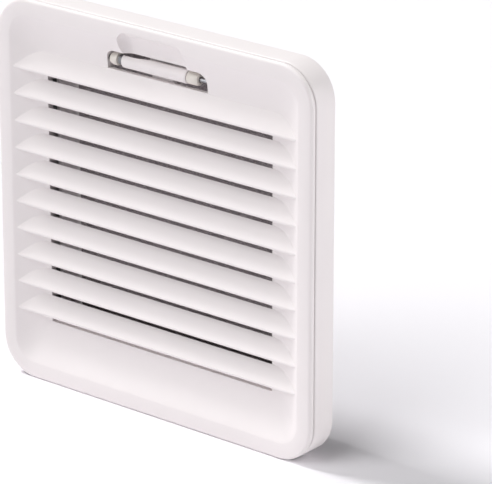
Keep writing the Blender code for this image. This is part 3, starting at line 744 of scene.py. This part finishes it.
def finger_hollow():
    """Cutter for the shallow hollow in the bar: a wide drum lying across it, leaned back."""
    tool = cylinder("hollow", (HOLLOW_X, LATCH_Y, LATCH_Z + HOLLOW_R + BAR_R - HOLLOW_DEEP), HOLLOW_R,
                    4 * BAR_R, axis="y", sides=360)
    edit(tool)
    bpy.ops.mesh.select_all(action="SELECT")
    bpy.ops.transform.rotate(value=math.radians(HOLLOW_TILT), orient_axis="X", orient_type="GLOBAL",
                             center_override=(0, FRONT + LATCH_Y, LATCH_Z))
    leave()
    return tool


def hook_arm():
    """Hook arm: a web down from the bar, an arm back and a nose with a lead-in ramp."""
    arm = cube("arm", (-ARM_HALF, ARM_HALF), (WEB_FRONT, WEB_BACK), (ARM_LOW, LATCH_Z - LAP))
    edit(arm, "FACE")
    bpy.ops.mesh.select_all(action="SELECT")
    bpy.ops.mesh.bisect(plane_co=(0, 0, ARM_TOP), plane_no=(0, 0, 1))
    bpy.ops.mesh.select_mode(type="FACE")
    choose(lambda co, face: face.normal.y > 0.9 and co.z < ARM_TOP, "faces")
    for step in (HOOK_FRONT - WEB_BACK, HOOK_BACK - HOOK_FRONT):
        bpy.ops.mesh.extrude_region_move(TRANSFORM_OT_translate={"value": (0, step, 0)})
    choose(lambda co, face: face.normal.z > 0.9 and co.y > FRONT + HOOK_FRONT, "faces")
    bpy.ops.mesh.extrude_region_move(TRANSFORM_OT_translate={"value": (0, 0, HOOK_TOP - ARM_TOP)})
    bpy.ops.mesh.select_mode(type="VERT")
    choose(lambda co, vert: co.y > FRONT + HOOK_BACK - NEAR and co.z > ARM_TOP + NEAR)
    bpy.ops.transform.translate(value=(0, HOOK_FRONT + HOOK_CREST - HOOK_BACK, 0))
    leave()
    return arm


def latch_lever():
    """Round press bar with a hook arm behind it, bored for its pin."""
    length = BAR_RIGHT - BAR_LEFT
    bar = cylinder("latch_lever_shown", (BAR_LEFT + length / 2, LATCH_Y, LATCH_Z), BAR_R, length, sides=96)
    round_edges(bar, BAR_EDGE, 4, TURNED_EDGE)
    combine(bar, finger_hollow(), "DIFFERENCE")
    combine(bar, hook_arm(), "UNION")
    combine(bar, cylinder("bore", (0, LATCH_Y, LATCH_Z), LATCH_PIN_R + GAP, 2 * length), "DIFFERENCE")
    smooth(bar)
    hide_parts("latch_lever")
    settle(bar, HOUSING_ABS, "latch_unit")


def latch_bush(label, span):
    """Bearing bush with its outer end drawn in to a smaller face."""
    inner, outer = sorted(span, key=abs)
    side = math.copysign(1, outer)
    neck = outer - side * BUSH_TAPER
    bush = cylinder(f"latch_bush_{label}_shown", ((inner + neck) / 2, LATCH_Y, LATCH_Z), BUSH_R,
                    abs(neck - inner), sides=64)
    edit(bush, "FACE")
    choose(lambda co, face: face.normal.x * side > 0.9, "faces")
    bpy.ops.mesh.extrude_region_move(TRANSFORM_OT_translate={"value": (outer - neck, 0, 0)})
    nose = BUSH_NOSE / BUSH_R
    bpy.ops.transform.resize(value=(1, nose, nose), center_override=(outer, FRONT + LATCH_Y, LATCH_Z))
    leave()
    round_edges(bush, BUSH_EDGE, 2, TURNED_EDGE)
    bore = cylinder("bore", ((inner + outer) / 2, LATCH_Y, LATCH_Z), LATCH_PIN_R + GAP, LATCH_BORE)
    combine(bush, bore, "DIFFERENCE")
    smooth(bush)
    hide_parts(f"latch_bush_{label}")
    settle(bush, BUSH_ACETAL, "cover_unit")


latch_lever()
latch_bush("left", LEFT_BUSH)
latch_bush("right", RIGHT_BUSH)


# Frame

def frame_ring():
    """Side wall, flange, housing and rear lip as one ring."""
    edge = 0.3 * MM
    inner = HOUSING + HOUSING_WALL
    inner_corner = HOUSING_CORNER - HOUSING_WALL
    rings = []
    for angle in quarter(4):
        inset = FRAME_ROUND * (1 - math.sin(angle))
        rings.append((even(inset), FRAME_FRONT + FRAME_ROUND * (1 - math.cos(angle)), CORNER - inset))
    back = 0.5 * MM
    for angle in quarter(4):
        inset = back * (1 - math.cos(angle))
        rings.append((even(inset), FLANGE_BACK - back + back * math.sin(angle), CORNER - inset))
    fillet = 0.4 * MM
    rings += [(even(HOUSING - fillet), FLANGE_BACK, HOUSING_CORNER + fillet),
              (even(HOUSING), FLANGE_BACK + fillet, HOUSING_CORNER)]
    round_rear = 0.8 * MM
    for angle in quarter(4):
        inset = HOUSING + round_rear * (1 - math.cos(angle))
        depth = DEPTH - round_rear + round_rear * math.sin(angle)
        rings.append((even(inset), depth, HOUSING_CORNER - inset + HOUSING))
    lip = 0.3 * MM
    rings += [(tuple(value - lip for value in REAR_OPEN), DEPTH, REAR_CORNER + lip),
              (REAR_OPEN, DEPTH - lip, REAR_CORNER), (REAR_OPEN, LIP_FRONT, REAR_CORNER),
              (even(inner), LIP_FRONT, inner_corner),
              (even(inner), FLANGE_FRONT, inner_corner), (even(WALL), FLANGE_FRONT, CORNER - WALL),
              (even(WALL), FRAME_FRONT + edge, CORNER - WALL),
              (even(WALL - edge), FRAME_FRONT, CORNER - WALL + edge), rings[0]]
    return ring_wall("mounting_frame_shown", rings)


def hinge_ear(middle):
    """Ear that carries a hinge pin: a cylinder end hanging from the notch's roof."""
    span = (middle - EAR / 2, middle + EAR / 2)
    ear = cylinder("ear", (middle, HINGE_Y, HINGE_Z), LUG_R, EAR)
    root = cube("ear_root", span, (HINGE_Y - LUG_R, HINGE_Y + LUG_R), (HINGE_Z, NOTCH_TOP + EAR_ROOT))
    combine(ear, root, "UNION")
    return ear


def mounting_frame():
    """The ring with its hinge notch, ears, tray walls, clip windows, pin blocks and the latch's keeper."""
    body = frame_ring()
    combine(body, cube("notch_wall", (-NOTCH_WALL_HALF, NOTCH_WALL_HALF), NOTCH_WALL_DEPTHS,
                       NOTCH_WALL_LEVELS), "UNION")
    combine(body, cube("notch", (-NOTCH_HALF, NOTCH_HALF), (-MM, NOTCH_BACK), (-MM, NOTCH_TOP)),
            "DIFFERENCE")
    for side in (-1, 1):
        for place in (-1, 1):
            combine(body, hinge_ear(side * HINGE_X + place * (LUG_HALF + GAP + EAR / 2)), "UNION")
    combine(body, cylinder("bore", (0, HINGE_Y, HINGE_Z), PIN_R + GAP, 2 * NOTCH_HALF - MM), "DIFFERENCE")
    low = HOUSING + HOUSING_WALL - LAP
    for side in (-1, 1):
        x = (side * TRAY_OUT, side * (TRAY_OUT - TRAY_WALL))
        combine(body, cube("tray", x, (TRAY_FRONT, LIP_FRONT + LAP), (low, HIGH - low)), "UNION")
        for z in CLIP_Z:
            x = (side * PIN_BLOCK_IN, side * PIN_BLOCK_OUT)
            for place in (-1, 1):
                ends = (z + place * (WINDOW_HALF - LAP), z + place * (WINDOW_HALF + PIN_BOSS))
                combine(body, cube("pin_block", x, (PIN_BLOCK_FRONT, LIP_FRONT + LAP), ends), "UNION")
            x = (side * WINDOW_IN, side * (HALF - HOUSING + CUT))
            combine(body, cube("window", x, (WINDOW_FRONT, LIP_FRONT), (z - WINDOW_HALF, z + WINDOW_HALF)),
                    "DIFFERENCE")
            bore = cylinder("bore", (side * CLIP_X, CLIP_Y, z), CLIP_PIN_R + GAP,
                            2 * (WINDOW_HALF + PIN_BOSS - PIN_CAP), axis="z", sides=32)
            combine(body, bore, "DIFFERENCE")
    combine(body, cube("keeper", (-KEEPER_HALF, KEEPER_HALF), (FLANGE_FRONT, FLANGE_BACK),
                       (KEEPER_LOW, HIGH - HOUSING - LAP)), "UNION")
    smooth(body)
    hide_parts("mounting_frame")
    settle(body, HOUSING_ABS, "frame_unit")


mounting_frame()


# Springs

def spring(name, centre, axis, sizes, start, side, body):
    """Torsion spring: a small circle swept round an axis by a Screw, with a straight leg."""
    radius, wire, length, leg = sizes
    angle = math.radians(start)
    spot = Vector((radius * math.cos(angle), radius * math.sin(angle), -length / 2))
    deselect()
    bpy.ops.mesh.primitive_circle_add(vertices=12, radius=wire, location=spot, rotation=(PI / 2, 0, angle))
    coil = named(name + "_shown")
    screw = coil.modifiers.new("turns", "SCREW")
    screw.axis = "Z"
    screw.angle = side * 2 * PI * COIL_TURNS
    screw.screw_offset = length
    screw.steps = screw.render_steps = 32 * COIL_TURNS
    take(coil)
    bpy.ops.object.modifier_apply(modifier=screw.name)
    pitch = length / (COIL_TURNS * 2 * PI * radius)
    along = Vector((-side * math.sin(angle), side * math.cos(angle), pitch)).normalized()
    tip = spot + Vector((0, 0, length))
    edit(coil)
    choose(lambda co, vert: (co - tip).length < 1.5 * wire)
    bpy.ops.mesh.extrude_edges_move(TRANSFORM_OT_translate={"value": along * leg})
    bpy.ops.mesh.edge_face_add()
    choose(lambda co, vert: (co - spot).length < 1.5 * wire)
    bpy.ops.mesh.edge_face_add()
    leave()
    if axis == "x":
        coil.rotation_euler = (PI / 2, 0, PI / 2)
    coil.location = (centre[0], FRONT + centre[1], centre[2])
    take(coil)
    bpy.ops.object.transform_apply(location=True, rotation=True, scale=True)
    mend(coil)
    smooth(coil, ROUND_CREASE)
    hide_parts(name)
    settle(coil, ZINC, body)


spring("latch_spring", ((BAR_LEFT + LEFT_BUSH[1]) / 2, LATCH_Y, LATCH_Z), "x", LATCH_SPRING, 90, 1,
       "latch_unit")
for label, side, start in (("left", -1, 0), ("right", 1, 180)):
    for level, z in zip(("lower", "upper"), CLIP_Z):
        spring(f"clip_spring_{label}_{level}", (side * CLIP_X, CLIP_Y, z), "z", CLIP_SPRING, start, side,
               f"clip_unit_{label}_{level}")


# Soft pieces

def filter_mat():
    """Fleece mat: a slab that a short cloth simulation puffs up, so that its faces crown."""
    half = MAT_HALF - MAT_SHRINK
    mat = cube("filter_mat_shown", (-half, half), (MAT_FRONT + MAT_SHRINK, MAT_BACK - MAT_SHRINK),
               (MAT_LOW + MAT_SHRINK, MAT_HIGH - MAT_SHRINK))
    take(mat)
    remesh = mat.modifiers.new("voxels", "REMESH")
    remesh.mode = "VOXEL"
    remesh.voxel_size = MAT_VOXEL
    bpy.ops.object.modifier_apply(modifier=remesh.name)
    puff(mat, MAT_CROWN)
    take(mat)
    finer = mat.modifiers.new("finer", "SUBSURF")
    finer.levels = finer.render_levels = 1
    bpy.ops.object.modifier_apply(modifier=finer.name)
    smooth(mat, ALL_ROUND)
    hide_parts("filter_mat")
    settle(mat, MAT_FLEECE_AND_PAINTED_SHADE, "frame_unit")


def puff(piece, cap):
    """Blow a soft piece up a little as cloth under pressure, with each point's travel capped."""
    before = [vert.co.copy() for vert in piece.data.vertices]
    take(piece)
    cloth = piece.modifiers.new("cloth", "CLOTH")
    cloth.settings.use_pressure = True
    cloth.settings.uniform_pressure_force = MAT_PRESSURE
    cloth.settings.effector_weights.gravity = 0
    for step in range(MAT_FRAMES):
        bpy.context.scene.frame_set(step + 1)
    bpy.ops.object.modifier_apply(modifier=cloth.name)
    for vert, start in zip(piece.data.vertices, before):
        move = vert.co - start
        if move.length > cap:
            vert.co = start + move * (cap / move.length)
    bpy.context.scene.frame_set(1)


def flange_gasket():
    """Die-cut foam strip round the cut-out, its back face crowned between soft edges."""
    edge = 0.7 * MM
    crown = 0.25 * MM
    top = 1.5 * MM
    dip = 0.05 * MM
    middle = (SEAL_OUT + SEAL_IN) / 2
    bend, bend_back = 0.2 * MM, SEAL_BACK - crown - 0.4 * MM
    outer = ((SEAL_OUT, SEAL_FRONT), (SEAL_OUT, SEAL_BACK - crown - edge), (SEAL_OUT + bend, bend_back),
             (SEAL_OUT + edge, SEAL_BACK - crown), (middle - top, SEAL_BACK - dip), (middle, SEAL_BACK))
    inner = tuple((SEAL_OUT + SEAL_IN - inset, depth) for inset, depth in reversed(outer[:-1]))
    profile = outer + inner + outer[:1]
    rings = [(even(inset), depth, CORNER - inset) for inset, depth in profile]
    seal = ring_wall("flange_gasket_shown", rings)
    smooth(seal, ROUND_CREASE)
    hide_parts("flange_gasket")
    settle(seal, SEAL_FOAM, "frame_unit")


filter_mat()
flange_gasket()

# Hidden moulded and turned pieces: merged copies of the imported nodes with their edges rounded
settle(refined("guard_grid", GRID_EDGE), HOUSING_ABS, "frame_unit")
settle(refined("latch_pin", PIN_EDGE), ZINC, "cover_unit")
for label in ("left", "right"):
    settle(refined(f"hinge_pin_{label}", PIN_EDGE), ZINC, "frame_unit")
    for level in ("lower", "upper"):
        tag = f"{label}_{level}"
        settle(refined(f"clip_{tag}", CLIP_EDGE), CLIP_POLYAMIDE, f"clip_unit_{tag}")
        settle(refined(f"clip_pin_{tag}", PIN_EDGE), ZINC, "frame_unit")


# Floor, light and camera

def seen_directly(tree, *rays):
    """One for the named kinds of ray and zero for the others."""
    path = node(tree, "LightPath")
    total = path.outputs[rays[0]]
    for ray in rays[1:]:
        add = node(tree, "Math", {"operation": "ADD", "use_clamp": True})
        tree.links.new(total, add.inputs[0])
        tree.links.new(path.outputs[ray], add.inputs[1])
        total = add.outputs["Value"]
    return total


def paper_floor():
    """Plain matt white floor."""
    deselect()
    bpy.ops.mesh.primitive_plane_add(size=30, location=(0, 0, 0))
    floor = named("floor")
    material, _, shader = new_material("matt_white_paper", "FCFAFE", 1.0)
    shader.inputs["Specular IOR Level"].default_value = 0.0
    floor.data.materials.append(material)


def studio():
    """Surroundings that are seen and mirrored white but shed no light, and soft lamps from the left, the
    right and above."""
    world = bpy.data.worlds.new("studio")
    bpy.context.scene.world = world
    world.use_nodes = True
    tree = world.node_tree
    shade = tree.nodes["Background"]
    shade.inputs["Color"].default_value = (1, 1, 1, 1)
    strength = seen_directly(tree, "Is Camera Ray", "Is Glossy Ray", "Is Transmission Ray")
    tree.links.new(strength, shade.inputs["Strength"])
    for name, azimuth, elevation, energy, spread in LAMPS:
        turn, lift = math.radians(azimuth), math.radians(elevation)
        deselect()
        bpy.ops.object.light_add(type="SUN", location=(0, 0, 1), rotation=(PI / 2 - lift, 0, turn))
        lamp = bpy.context.object
        lamp.name = name
        lamp.data.energy = energy
        lamp.data.angle = math.radians(spread)


def camera():
    turn, lift = math.radians(CAMERA_TURN), math.radians(CAMERA_LIFT)
    back = Vector((math.sin(turn) * math.cos(lift), -math.cos(turn) * math.cos(lift), math.sin(lift)))
    right = Vector((math.cos(turn), math.sin(turn), 0))
    up = back.cross(right)
    deselect()
    bpy.ops.object.camera_add()
    cam = bpy.context.object
    middle = Vector((0, FRONT, HIGH / 2))
    cam.location = middle + back * CAMERA_FAR + right * CAMERA_RIGHT - up * CAMERA_DOWN
    cam.rotation_mode = "QUATERNION"
    cam.rotation_quaternion = (-back).to_track_quat("-Z", "Y")
    cam.data.lens = LENS
    cam.data.sensor_width = SENSOR
    cam.data.clip_start = 0.1
    cam.data.clip_end = 100
    bpy.context.scene.camera = cam


paper_floor()
studio()
camera()
deselect()
bpy.context.scene.view_settings.view_transform = "Standard"
